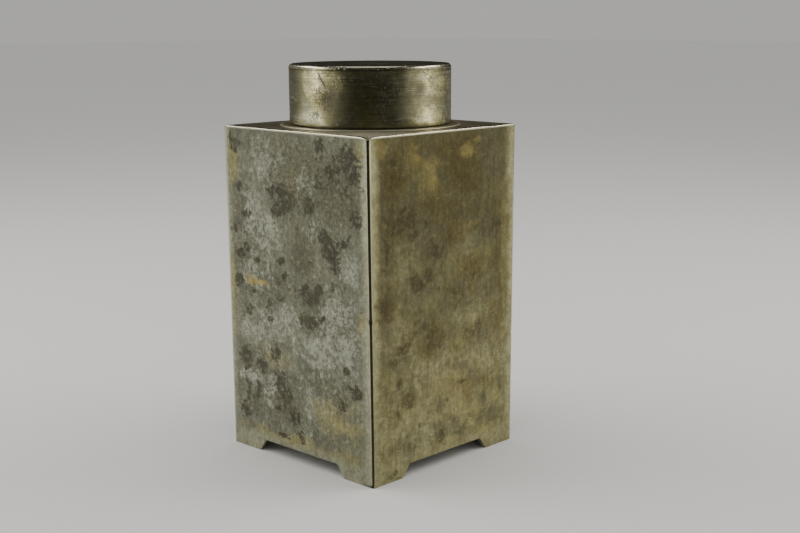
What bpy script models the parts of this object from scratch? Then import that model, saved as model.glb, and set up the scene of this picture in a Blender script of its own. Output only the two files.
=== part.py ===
"""Square pewter tea caddy with a round slip-on lid and an inner lid.

Units are metres, +Z is up. The origin is on the standing surface, under the middle of the caddy.
The four side plates face -Y (front), +X (right), +Y (back) and -X (left).
Every piece is its own closed solid, and neighbours keep a small joint gap to each other.
"""

import math

import bmesh
import bpy
from mathutils import Matrix

MM = 0.001

# Driving dimensions of the body
BODY_WIDTH = 62.0 * MM
BODY_HEIGHT = 100.1 * MM
WALL = 1.8 * MM
CORNER_RADIUS = 0.7 * MM
SHOULDER_EDGE_RADIUS = 0.5 * MM
JOINT_GAP = 0.3 * MM

# Bracket feet: a slanted notch in the lower edge of each side leaves one foot at each corner
FOOT_HEIGHT = 3.7 * MM
FOOT_WIDTH_AT_GROUND = 12.4 * MM
FOOT_WIDTH_AT_TOP = 15.0 * MM

# Floor, let in between the sides
FLOOR_UNDERSIDE = 4.4 * MM
FLOOR_THICKNESS = 1.6 * MM

# Neck and the raised ring around it
FLANGE_RADIUS = 27.3 * MM
FLANGE_RISE = 0.45 * MM
FLANGE_EDGE_RADIUS = 0.25 * MM
NECK_WALL = 1.2 * MM
NECK_RISE = 9.0 * MM

# Slip-on lid
LID_RADIUS = 24.3 * MM
LID_WALL = 1.3 * MM
LID_TOP_HEIGHT = 118.5 * MM
LID_TOP_THICKNESS = 1.3 * MM
LID_RIM_RADIUS = 1.0 * MM

# Inner lid, which stops the neck
INNER_DISC_THICKNESS = 1.2 * MM
INNER_SKIRT_DEPTH = 6.0 * MM
INNER_SKIRT_WALL = 1.1 * MM
KNOB_RADIUS = 4.2 * MM
KNOB_FOOT_RADIUS = 3.0 * MM
KNOB_WAIST_RADIUS = 2.4 * MM
KNOB_HEIGHT = 4.6 * MM
KNOB_STEM_HEIGHT = 1.6 * MM
KNOB_FULLNESS = 0.6

# Solder fillets in the inside corners
SEAM_LEG = 1.4 * MM
ROUND_SEAM_LEG = 1.0 * MM

# Softened edges, as a share of the thickness of the wall that they end
EDGE_SOFTNESS = 0.25

# Mesh resolution: all round pieces share one count, so that their facets line up
ROUND_SEGMENTS = 72
KNOB_SEGMENTS = 36
ARC_STEPS = 4
SMOOTH_ANGLE = math.radians(30.0)

# Sizes that follow from the ones above
HALF_WIDTH = BODY_WIDTH / 2
INNER_HALF_WIDTH = HALF_WIDTH - WALL
SHOULDER_UNDERSIDE = BODY_HEIGHT - WALL
FLOOR_TOP = FLOOR_UNDERSIDE + FLOOR_THICKNESS
FLANGE_TOP = BODY_HEIGHT + FLANGE_RISE
LID_BOTTOM = FLANGE_TOP + JOINT_GAP
LID_TOP_UNDERSIDE = LID_TOP_HEIGHT - LID_TOP_THICKNESS
LID_INNER_RADIUS = LID_RADIUS - LID_WALL
NECK_RADIUS = LID_INNER_RADIUS - JOINT_GAP
NECK_INNER_RADIUS = NECK_RADIUS - NECK_WALL
NECK_TOP = BODY_HEIGHT + NECK_RISE
INNER_DISC_UNDERSIDE = NECK_TOP + JOINT_GAP
INNER_DISC_TOP = INNER_DISC_UNDERSIDE + INNER_DISC_THICKNESS
INNER_SKIRT_RADIUS = NECK_INNER_RADIUS - JOINT_GAP


def clear_scene():
    """Remove whatever the file holds, so that the script always starts empty."""
    for old in list(bpy.data.objects):
        bpy.data.objects.remove(old, do_unlink=True)


def pewter(name, color, roughness):
    """A grey tin alloy with the given tone."""
    material = bpy.data.materials.new(name)
    material.use_nodes = True
    shader = material.node_tree.nodes["Principled BSDF"]
    shader.inputs["Base Color"].default_value = (*color, 1.0)
    shader.inputs["Metallic"].default_value = 0.9
    shader.inputs["Roughness"].default_value = roughness
    return material


def add_object(name, mesh, material, parent=None):
    """Link a mesh as one named piece, shaded smooth except at its sharp edges."""
    mesh.name = name
    mesh.shade_smooth()
    mesh.set_sharp_from_angle(angle=SMOOTH_ANGLE)
    mesh.materials.append(material)
    piece = bpy.data.objects.new(name, mesh)
    bpy.context.collection.objects.link(piece)
    piece.parent = parent
    return piece


def add_axis(name, height):
    """An empty on a lid's lifting axis. The pieces of the lid are parented to it."""
    axis = bpy.data.objects.new(name, None)
    axis.location = (0.0, 0.0, height)
    axis.empty_display_size = LID_RADIUS
    bpy.context.collection.objects.link(axis)
    return axis


def finish_mesh(bm):
    """Turn a bmesh into a mesh with its faces pointing out."""
    bmesh.ops.recalc_face_normals(bm, faces=bm.faces[:])
    mesh = bpy.data.meshes.new("piece")
    bm.to_mesh(mesh)
    bm.free()
    return mesh


def arc(center, radius, start, end, steps):
    """Points along an arc in a plane, from one angle to another."""
    points = []
    for step in range(steps + 1):
        angle = start + (end - start) * step / steps
        x = center[0] + radius * math.cos(angle)
        y = center[1] + radius * math.sin(angle)
        points.append((x, y))
    return points


def prism(outline, bottom, top):
    """A flat outline raised to a solid between two heights."""
    bm = bmesh.new()
    corners = [bm.verts.new((x, y, bottom)) for x, y in outline]
    base = bm.faces.new(corners)
    raised = bmesh.ops.extrude_face_region(bm, geom=[base])
    lifted = [item for item in raised["geom"] if isinstance(item, bmesh.types.BMVert)]
    bmesh.ops.translate(bm, verts=lifted, vec=(0.0, 0.0, top - bottom))
    return bm


def turned(profile, segments=ROUND_SEGMENTS):
    """A closed profile of (radius, height) points, turned about the Z axis.

    A point with radius 0 lies on the axis and becomes a single vertex.
    """
    bm = bmesh.new()
    rings = []
    for radius, height in profile:
        if radius == 0.0:
            rings.append([bm.verts.new((0.0, 0.0, height))] * segments)
            continue
        ring = arc((0.0, 0.0), radius, 0.0, math.tau * (segments - 1) / segments, segments - 1)
        rings.append([bm.verts.new((x, y, height)) for x, y in ring])
    for ring, following in zip(rings, rings[1:] + rings[:1]):
        for index in range(segments):
            after = (index + 1) % segments
            corners = [ring[index], ring[after], following[after], following[index]]
            unique = list(dict.fromkeys(corners))
            if len(unique) > 2:
                bm.faces.new(unique)
    return bm


def rounded_square(half, radius):
    """The outline of a square with rounded corners, anticlockwise from its +X +Y corner."""
    points = []
    for quarter in range(4):
        start = quarter * math.pi / 2
        diagonal = start + math.pi / 4
        reach = (half - radius) * math.sqrt(2)
        center = (reach * math.cos(diagonal), reach * math.sin(diagonal))
        points.extend(arc(center, radius, start, start + math.pi / 2, ARC_STEPS))
    return points


def cut(piece, cutter_mesh, name):
    """Cut a shape away from a piece. The cutter stays in the file as a wire guide."""
    cutter = bpy.data.objects.new(name, cutter_mesh)
    bpy.context.collection.objects.link(cutter)
    cutter.matrix_world = piece.matrix_world.copy()
    cutter.hide_render = True
    cutter.display_type = "WIRE"
    boolean = piece.modifiers.new("cut", "BOOLEAN")
    boolean.operation = "DIFFERENCE"
    boolean.solver = "EXACT"
    boolean.object = cutter


def side_plate_outline():
    """The front plate seen from above: rounded outer corners, mitred ends and a flat inside."""
    center = HALF_WIDTH - CORNER_RADIUS
    trim = math.asin(JOINT_GAP / 2 / CORNER_RADIUS)
    mitre_shift = JOINT_GAP / math.sqrt(2)
    left = arc((-center, -center), CORNER_RADIUS, math.radians(225) + trim, math.radians(270), ARC_STEPS)
    right = [(-x, y) for x, y in reversed(left)]
    inner_end = INNER_HALF_WIDTH - mitre_shift
    inside = [(inner_end, -INNER_HALF_WIDTH), (-inner_end, -INNER_HALF_WIDTH)]
    return left + right + inside


def foot_notch():
    """The space between two feet, run past both faces of the front plate."""
    half_at_ground = HALF_WIDTH - FOOT_WIDTH_AT_GROUND
    half_at_top = HALF_WIDTH - FOOT_WIDTH_AT_TOP
    slope = (half_at_ground - half_at_top) / FOOT_HEIGHT
    overrun = 1.0 * MM
    half_below = half_at_ground + slope * overrun
    outline = [
        (-half_below, -overrun),
        (half_below, -overrun),
        (half_at_top, FOOT_HEIGHT),
        (-half_at_top, FOOT_HEIGHT),
    ]
    bm = prism(outline, INNER_HALF_WIDTH - overrun, HALF_WIDTH + overrun)
    bmesh.ops.rotate(bm, verts=bm.verts[:], matrix=Matrix.Rotation(math.pi / 2, 3, "X"))
    return finish_mesh(bm)


def make_side_plates(material):
    """Four plates, each a quarter turn from the last."""
    plate_mesh = finish_mesh(prism(side_plate_outline(), 0.0, SHOULDER_UNDERSIDE - JOINT_GAP))
    notch_mesh = foot_notch()
    for quarter, side in enumerate(("front", "right", "back", "left")):
        plate = add_object(f"side_plate_{side}", plate_mesh.copy(), material)
        plate.matrix_world = Matrix.Rotation(quarter * math.pi / 2, 4, "Z")
        cut(plate, notch_mesh, f"foot_notch_{side}")


def make_top_plate(material):
    """The shoulder: a square plate with softened upper edges and a round hole for the flange."""
    bm = prism(rounded_square(HALF_WIDTH, CORNER_RADIUS), SHOULDER_UNDERSIDE, BODY_HEIGHT)
    upper = [edge for edge in bm.edges if all(vert.co.z > BODY_HEIGHT - JOINT_GAP for vert in edge.verts)]
    bmesh.ops.bevel(
        bm, geom=upper, offset=SHOULDER_EDGE_RADIUS, segments=ARC_STEPS, profile=0.5, affect="EDGES"
    )
    plate = add_object("top_plate", finish_mesh(bm), material)
    hole_radius = FLANGE_RADIUS + JOINT_GAP
    hole = [
        (0.0, SHOULDER_UNDERSIDE - WALL),
        (hole_radius, SHOULDER_UNDERSIDE - WALL),
        (hole_radius, BODY_HEIGHT + WALL),
        (0.0, BODY_HEIGHT + WALL),
    ]
    cut(plate, finish_mesh(turned(hole)), "shoulder_hole")


def make_floor_plate(material):
    """The floor: a flat square let in between the sides, above the feet."""
    half = INNER_HALF_WIDTH - JOINT_GAP
    outline = [(half, half), (-half, half), (-half, -half), (half, -half)]
    add_object("floor_plate", finish_mesh(prism(outline, FLOOR_UNDERSIDE, FLOOR_TOP)), material)


def make_neck(material):
    """The collar that the lid slips over, with a softened upper edge."""
    soft = NECK_WALL * EDGE_SOFTNESS
    profile = [
        (NECK_INNER_RADIUS, SHOULDER_UNDERSIDE),
        (NECK_RADIUS, SHOULDER_UNDERSIDE),
        (NECK_RADIUS, NECK_TOP - soft),
        (NECK_RADIUS - soft, NECK_TOP),
        (NECK_INNER_RADIUS + soft, NECK_TOP),
        (NECK_INNER_RADIUS, NECK_TOP - soft),
    ]
    add_object("neck", finish_mesh(turned(profile)), material)


def make_neck_flange(material):
    """The ring that fills the shoulder's hole around the neck and stands a little proud of it."""
    inner = NECK_RADIUS + JOINT_GAP
    center = (FLANGE_RADIUS - FLANGE_EDGE_RADIUS, FLANGE_TOP - FLANGE_EDGE_RADIUS)
    edge = arc(center, FLANGE_EDGE_RADIUS, 0.0, math.pi / 2, ARC_STEPS)
    profile = [(inner, SHOULDER_UNDERSIDE), (FLANGE_RADIUS, SHOULDER_UNDERSIDE)] + edge
    profile.append((inner, FLANGE_TOP))
    add_object("neck_flange", finish_mesh(turned(profile)), material)


def make_lid(material, solder):
    """The slip-on lid: a band, a top disc with a rounded rim, and the solder between them."""
    axis = add_axis("lid_axis", LID_BOTTOM)
    to_axis = Matrix.Translation((0.0, 0.0, -LID_BOTTOM))
    soft = LID_WALL * EDGE_SOFTNESS
    band_top = LID_TOP_UNDERSIDE - JOINT_GAP
    band = [
        (LID_INNER_RADIUS + soft, LID_BOTTOM),
        (LID_RADIUS - soft, LID_BOTTOM),
        (LID_RADIUS, LID_BOTTOM + soft),
        (LID_RADIUS, band_top),
        (LID_INNER_RADIUS, band_top),
        (LID_INNER_RADIUS, LID_BOTTOM + soft),
    ]
    rim_center = (LID_RADIUS - LID_RIM_RADIUS, LID_TOP_HEIGHT - LID_RIM_RADIUS)
    rim = arc(rim_center, LID_RIM_RADIUS, 0.0, math.pi / 2, ARC_STEPS + 1)
    disc = [(0.0, LID_TOP_UNDERSIDE), (LID_RADIUS, LID_TOP_UNDERSIDE)] + rim + [(0.0, LID_TOP_HEIGHT)]
    seam_radius = LID_INNER_RADIUS - JOINT_GAP
    seam = [
        (seam_radius, band_top - ROUND_SEAM_LEG),
        (seam_radius, band_top),
        (seam_radius - ROUND_SEAM_LEG, band_top),
    ]
    for name, profile, finish in (("lid_band", band, material), ("lid_top", disc, material),
                                  ("lid_seam", seam, solder)):
        mesh = finish_mesh(turned(profile))
        mesh.transform(to_axis)
        add_object(name, mesh, finish, axis)


def knob_profile(foot):
    """A small turned knob: a waisted stem under a flattened round head."""
    head_half = (KNOB_HEIGHT - KNOB_STEM_HEIGHT) / 2
    head_center = foot + KNOB_STEM_HEIGHT + head_half
    stem = [
        (0.0, foot),
        (KNOB_FOOT_RADIUS, foot),
        (KNOB_WAIST_RADIUS, foot + KNOB_STEM_HEIGHT / 2),
    ]
    head = []
    for step in range(1, 2 * ARC_STEPS):
        angle = -math.pi / 2 + math.pi * step / (2 * ARC_STEPS)
        radius = max(KNOB_RADIUS * math.cos(angle) ** KNOB_FULLNESS, KNOB_WAIST_RADIUS)
        head.append((radius, head_center + head_half * math.sin(angle)))
    return stem + head + [(0.0, foot + KNOB_HEIGHT)]


def make_inner_lid(material):
    """The inner lid: a disc on the neck's edge, a skirt inside the neck, and a knob."""
    axis = add_axis("inner_lid_axis", INNER_DISC_UNDERSIDE)
    to_axis = Matrix.Translation((0.0, 0.0, -INNER_DISC_UNDERSIDE))
    soft = INNER_DISC_THICKNESS * EDGE_SOFTNESS
    disc = [
        (0.0, INNER_DISC_UNDERSIDE),
        (NECK_RADIUS, INNER_DISC_UNDERSIDE),
        (NECK_RADIUS, INNER_DISC_TOP - soft),
        (NECK_RADIUS - soft, INNER_DISC_TOP),
        (0.0, INNER_DISC_TOP),
    ]
    skirt_top = INNER_DISC_UNDERSIDE - JOINT_GAP
    skirt_bottom = skirt_top - INNER_SKIRT_DEPTH
    skirt_inner = INNER_SKIRT_RADIUS - INNER_SKIRT_WALL
    lead_in = INNER_SKIRT_WALL * EDGE_SOFTNESS
    skirt = [
        (skirt_inner, skirt_bottom),
        (INNER_SKIRT_RADIUS - lead_in, skirt_bottom),
        (INNER_SKIRT_RADIUS, skirt_bottom + lead_in),
        (INNER_SKIRT_RADIUS, skirt_top),
        (skirt_inner, skirt_top),
    ]
    knob = knob_profile(INNER_DISC_TOP + JOINT_GAP)
    for name, profile, segments in (("inner_lid_disc", disc, ROUND_SEGMENTS),
                                    ("inner_lid_skirt", skirt, ROUND_SEGMENTS),
                                    ("inner_lid_knob", knob, KNOB_SEGMENTS)):
        mesh = finish_mesh(turned(profile, segments))
        mesh.transform(to_axis)
        add_object(name, mesh, material, axis)


def corner_seam_mesh(bottom, top):
    """A three-cornered solder fillet that fills the inside corner of two plates."""
    outer = INNER_HALF_WIDTH - JOINT_GAP
    outline = [(outer, outer), (outer - SEAM_LEG, outer), (outer, outer - SEAM_LEG)]
    return finish_mesh(prism(outline, bottom, top))


def square_seam_mesh(height, direction):
    """A solder fillet around the inside of the body, growing up (1) or down (-1) from a plate."""
    outer = INNER_HALF_WIDTH - JOINT_GAP
    start = height + direction * JOINT_GAP
    profile = [(outer, start), (outer, start + direction * SEAM_LEG), (outer - SEAM_LEG, start)]
    bm = bmesh.new()
    rings = []
    for half, z in profile:
        square = [(half, half), (-half, half), (-half, -half), (half, -half)]
        rings.append([bm.verts.new((x, y, z)) for x, y in square])
    for ring, following in zip(rings, rings[1:] + rings[:1]):
        for index in range(4):
            after = (index + 1) % 4
            bm.faces.new([ring[index], ring[after], following[after], following[index]])
    return finish_mesh(bm)


def make_body_seams(solder):
    """The solder inside the body: up the corners, around the floor, shoulder and neck."""
    add_object("floor_seam", square_seam_mesh(FLOOR_TOP, 1), solder)
    add_object("shoulder_seam", square_seam_mesh(SHOULDER_UNDERSIDE, -1), solder)
    clearance = 2 * JOINT_GAP + SEAM_LEG
    seam_mesh = corner_seam_mesh(FLOOR_TOP + clearance, SHOULDER_UNDERSIDE - clearance)
    for quarter in range(4):
        seam = add_object(f"corner_seam_{quarter + 1}", seam_mesh.copy(), solder)
        seam.matrix_world = Matrix.Rotation(quarter * math.pi / 2, 4, "Z")
    top = SHOULDER_UNDERSIDE - JOINT_GAP
    middle = NECK_RADIUS + JOINT_GAP / 2
    bead = [
        (middle - ROUND_SEAM_LEG, top),
        (middle + ROUND_SEAM_LEG, top),
        (middle, top - ROUND_SEAM_LEG),
    ]
    add_object("neck_seam", finish_mesh(turned(bead)), solder)


def main():
    clear_scene()
    body_pewter = pewter("body_pewter", (0.36, 0.34, 0.27), 0.45)
    lid_pewter = pewter("lid_pewter", (0.42, 0.40, 0.33), 0.32)
    inner_pewter = pewter("inner_pewter", (0.50, 0.49, 0.45), 0.40)
    solder = pewter("solder", (0.40, 0.39, 0.36), 0.55)
    make_side_plates(body_pewter)
    make_top_plate(body_pewter)
    make_floor_plate(inner_pewter)
    make_neck_flange(body_pewter)
    make_neck(inner_pewter)
    make_body_seams(solder)
    make_inner_lid(inner_pewter)
    make_lid(lid_pewter, solder)
    bpy.context.view_layer.update()


main()
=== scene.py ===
"""Looks of the square pewter tea caddy: fine meshes and aged-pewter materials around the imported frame.

Positions come from the frame's nodes. Shapes are worked out in metres, materials in millimetres.
The near corner is the vertical edge at (-X, -Y); the left face is the -X side, the right face the -Y side.
"""

import math

import bpy
import numpy as np
from mathutils import Matrix, Vector
from mathutils import noise as smooth


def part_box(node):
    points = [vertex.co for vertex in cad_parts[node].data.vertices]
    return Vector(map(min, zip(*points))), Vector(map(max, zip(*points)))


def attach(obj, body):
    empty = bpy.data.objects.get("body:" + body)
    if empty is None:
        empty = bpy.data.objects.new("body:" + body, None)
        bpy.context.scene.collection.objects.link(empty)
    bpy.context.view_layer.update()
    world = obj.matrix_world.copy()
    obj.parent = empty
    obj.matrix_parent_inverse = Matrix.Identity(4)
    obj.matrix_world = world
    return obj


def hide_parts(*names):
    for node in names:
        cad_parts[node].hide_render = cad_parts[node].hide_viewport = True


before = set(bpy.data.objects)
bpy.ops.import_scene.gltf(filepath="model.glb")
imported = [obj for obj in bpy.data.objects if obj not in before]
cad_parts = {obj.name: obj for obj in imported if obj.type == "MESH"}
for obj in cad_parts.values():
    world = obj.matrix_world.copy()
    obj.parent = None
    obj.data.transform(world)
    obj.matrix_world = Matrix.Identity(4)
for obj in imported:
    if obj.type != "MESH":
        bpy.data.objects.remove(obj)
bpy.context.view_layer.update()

MM = 0.001

# ---- Sizes read from the frame ----

side_low, side_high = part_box("side_plate_front")
top_low, top_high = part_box("top_plate")
flange_low, flange_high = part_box("neck_flange")
neck_low, neck_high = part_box("neck")
floor_low, floor_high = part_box("floor_plate")
band_low, band_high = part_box("lid_band")
lid_top_low, lid_top_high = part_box("lid_top")
disc_low, disc_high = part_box("inner_lid_disc")
skirt_low, skirt_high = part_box("inner_lid_skirt")
knob_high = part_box("inner_lid_knob")[1]

HALF = top_high.x
WALL = side_high.y - side_low.y
SHOULDER = top_high.z
SHOULDER_UNDERSIDE = top_low.z
FLANGE_RADIUS = flange_high.x
FLANGE_TOP = flange_high.z
NECK_RADIUS = neck_high.x
NECK_TOP = neck_high.z
LID_RADIUS = band_high.x + 0.15 * MM
LID_BOTTOM = band_low.z
LID_TOP = lid_top_high.z
BODY_WIDTH = 2 * HALF

# Sizes that a box doesn't give
CORNER_RADIUS = 0.75 * MM
SHOULDER_EDGE_RADIUS = 0.33 * MM
LOWER_EDGE_RADIUS = 0.3 * MM
FOOT_HEIGHT = 3.7 * MM
NOTCH_HALF_AT_GROUND = HALF - 12.4 * MM
NOTCH_HALF_AT_TOP = HALF - 15.0 * MM
NOTCH_CORNER_RADIUS = 0.45 * MM
NECK_WALL = 1.2 * MM
LID_WALL = 1.3 * MM
LID_RIM_RADIUS = 1.0 * MM
LID_DISH = 0.10 * MM
GROOVE_EDGE = 0.07 * MM
SKIRT_WALL = 1.1 * MM

# How uneven the hand-made metal is
FLARE = 0.22 * MM
NEAR_LEAN = 0.45 * MM
FAR_LEAN = 0.35 * MM
WALL_SAG = 0.16 * MM
WALL_WAVE = 0.10 * MM
HAMMER_WAVE = 0.022 * MM
EDGE_WAVE = 0.07 * MM
SHOULDER_WAVE = 0.05 * MM
FLOOR_SAG = 0.12 * MM

# The camera: its direction turned from +Y towards +X, pitched down, and lengths in body widths
CAMERA_TURN = math.radians(45.84)
CAMERA_PITCH = math.radians(10.97)
CAMERA_ROLL = math.radians(-0.23)
CAMERA_TARGET = (0.0988, -0.1017, 0.9051)
CAMERA_DISTANCE = 6.4228
CAMERA_LENS = 57.8
SENSOR_WIDTH = 36.0

# Edges at least this sharp stay crisp
SHARP_FROM = math.radians(38.0)


# ---- Mesh helpers ----

def ripple(x, y, z, size, seed):
    """Smooth noise from -1 to 1 over a length, the same on every run."""
    return smooth.noise(Vector((x / size + seed * 17.3, y / size - seed * 5.1, z / size + seed * 9.7)))


def spaced(low, high, step, dense=(), reach=1.0 * MM, fine=0.2 * MM):
    """Values from low to high a step apart, closer together around the places in dense."""
    values = set(np.round(np.linspace(low, high, max(2, round((high - low) / step) + 1)), 7))
    for place in dense:
        for value in np.arange(place - reach, place + reach + fine / 2, fine):
            if low < value < high:
                values.add(round(float(value), 7))
    ordered = sorted(values)
    kept = [ordered[0]]
    for value in ordered[1:]:
        if value - kept[-1] > fine * 0.45:
            kept.append(value)
    kept[-1] = ordered[-1]
    return kept


def arc_points(center, radius, start, end, steps):
    """Points along an arc, angles in degrees."""
    points = []
    for step in range(steps + 1):
        angle = math.radians(start + (end - start) * step / steps)
        points.append((center[0] + radius * math.cos(angle), center[1] + radius * math.sin(angle)))
    return points


def loft(name, rings, loop=False, start_pole=None, end_pole=None):
    """A closed skin over rings of points, each ring with the same number of points.

    With loop the last ring joins the first. A pole closes an end in a fan to one point.
    """
    rows = len(rings)
    columns = len(rings[0])
    points = [tuple(point) for ring in rings for point in ring]
    faces = []
    for row in range(rows if loop else rows - 1):
        this_row = row * columns
        next_row = ((row + 1) % rows) * columns
        for column in range(columns):
            after = (column + 1) % columns
            faces.append((this_row + column, this_row + after, next_row + after, next_row + column))
    for pole, ring_start, flip in ((start_pole, 0, True), (end_pole, (rows - 1) * columns, False)):
        if pole is None:
            continue
        points.append(tuple(pole))
        middle = len(points) - 1
        for column in range(columns):
            pair = (ring_start + column, ring_start + (column + 1) % columns)
            faces.append((pair[1], pair[0], middle) if flip else (pair[0], pair[1], middle))
    mesh = bpy.data.meshes.new(name)
    mesh.from_pydata(points, [], faces)
    mesh.update()
    return mesh


def place(name, mesh, material, body, nodes, slot):
    """Add a mesh as a piece that rides on a body and stands for its CAD nodes."""
    mesh.name = name
    mesh.shade_smooth()
    mesh.set_sharp_from_angle(angle=SHARP_FROM)
    mesh.materials.append(material)
    piece = bpy.data.objects.new(name, mesh)
    bpy.context.scene.collection.objects.link(piece)
    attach(piece, body)
    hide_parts(*nodes)


def turned(name, profile, count, material, body, node, slot, poles=None, dense=(), change=None):
    """Add a turned piece with a (radius, height) profile: a ring, or a solid between two pole heights.

    count is the number of angles, closer together around dense (degrees).
    change(radius, height, angle) may shift each point.
    """
    places = [math.radians(angle) % math.tau for angle in dense]
    reach, fine = math.radians(4.0), math.radians(0.5)
    angles = spaced(0.0, math.tau, math.tau / count, places, reach, fine)[:-1]
    rings = []
    for radius, height in profile:
        ring = []
        for angle in angles:
            r, z = change(radius, height, angle) if change else (radius, height)
            ring.append((r * math.cos(angle), r * math.sin(angle), z))
        rings.append(ring)
    start, end = [(0, 0, pole) for pole in poles] if poles else (None, None)
    place(name, loft(name, rings, not poles, start, end), material, body, [node], slot)


# ---- Body: four side plates and the shoulder, soldered and burnished into one skin ----

# Dents in the metal: where, how wide and how deep (mm), and which way the metal went
DENTS = (
    ((-30.8, -30.8, 48.8), 0.55, 0.30, (1, 1, 0)),
    ((-31.3, -30.5, 100.1), 0.80, 0.55, (0, 0, -1)),
    ((-30.9, -29.4, 45.9), 0.35, 0.12, (1, 0, 0)),
    ((-30.8, -30.8, 21.5), 0.40, 0.10, (1, 1, 0)),
    ((-30.8, -30.8, 8.1), 0.45, 0.12, (1, 1, 0)),
    ((-24.0, -31.0, 99.9), 0.80, 0.14, (0, 1, -1)),
    ((-31.0, -12.0, 100.0), 0.70, 0.10, (1, 0, -1)),
    ((30.9, 30.9, 72.0), 0.50, 0.20, (-1, -1, 0)),
    ((30.9, -30.9, 35.0), 0.50, 0.18, (-1, 1, 0)),
    ((12.0, 31.0, 99.9), 0.80, 0.14, (0, -1, -1)),
    ((-23.5, -31.0, 0.9), 0.60, 0.20, (0, 1, 0)),
    ((-22.2, -31.0, 1.9), 0.35, 0.14, (0, 1, 0)),
)


def dented(point):
    """The point moved by the dents near it."""
    moved = Vector(point)
    for center, radius, depth, way in DENTS:
        away = (moved - Vector(center) * MM).length / (radius * MM)
        if away < 2.5:
            moved += Vector(way).normalized() * depth * MM * math.exp(-away * away)
    return moved


def notch_height(along):
    """Height of a side's lower edge: 0 at the feet, the foot height in the notch, corners eased."""
    total = 0.0
    samples = 9
    for sample in range(samples):
        x = abs(along + (sample / (samples - 1) - 0.5) * 2 * NOTCH_CORNER_RADIUS)
        share = (NOTCH_HALF_AT_GROUND - x) / (NOTCH_HALF_AT_GROUND - NOTCH_HALF_AT_TOP)
        total += min(1.0, max(0.0, share))
    return FOOT_HEIGHT * total / samples


def body_stations():
    """(quarter, along, corner angle) for each column of the body's skin, anticlockwise from above."""
    flat = HALF - CORNER_RADIUS
    notch = (NOTCH_HALF_AT_GROUND, NOTCH_HALF_AT_TOP)
    dense = [sign * value for sign in (-1, 1) for value in notch]
    alongs = spaced(-flat, flat, 1.0 * MM, dense, reach=0.8 * MM, fine=0.25 * MM)
    stations = []
    corner_steps = 12
    for quarter in range(4):
        stations += [(quarter, along, 0.0) for along in alongs]
        for step in range(1, corner_steps):
            stations.append((quarter, flat, math.pi / 2 * step / corner_steps))
    return stations


def on_outline(station, half, radius, inset=0.0):
    """A station's point on a rounded square, and its outward direction, in plan."""
    quarter, along, angle = station
    flat = half - radius
    outer_flat = HALF - CORNER_RADIUS
    steady = NOTCH_HALF_AT_GROUND + 1.0 * MM
    if abs(along) > steady:
        share = (abs(along) - steady) / (outer_flat - steady)
        along = math.copysign(steady + share * (flat - steady), along)
    out = Vector((math.sin(angle), -math.cos(angle)))
    point = Vector((along, -flat)) + out * (radius - inset)
    turn = Matrix.Rotation(quarter * math.pi / 2, 2)
    return turn @ point, turn @ out


def leaned(x, y, height):
    """How far the hand-made body strays from square, in plan: it flares upwards and leans at a corner."""
    up = height / SHOULDER
    near = (1 - x / HALF) * (1 - y / HALF) / 4
    far_left = (1 - x / HALF) * (1 + y / HALF) / 4
    flare = Vector((x, y)) / HALF * FLARE * up
    aside = Vector((-1.0, 1.0)).normalized()
    return flare + aside * (NEAR_LEAN * near * (2 * up - 0.9) + FAR_LEAN * far_left * up)


def wall_bow(along, z, quarter):
    """How far a hand-hammered side stands in (negative) or out at a place."""
    middle = (1 - (along / HALF) ** 2) * math.sin(math.pi * min(1.0, max(0.0, z / SHOULDER)))
    bow = -WALL_SAG * middle
    bow += WALL_WAVE * ripple(along, z, quarter * HALF, 26 * MM, 1) * min(1.0, 3 * middle + 0.2)
    bow += HAMMER_WAVE * ripple(along, z, quarter * HALF, 8 * MM, 2)
    return bow


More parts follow.
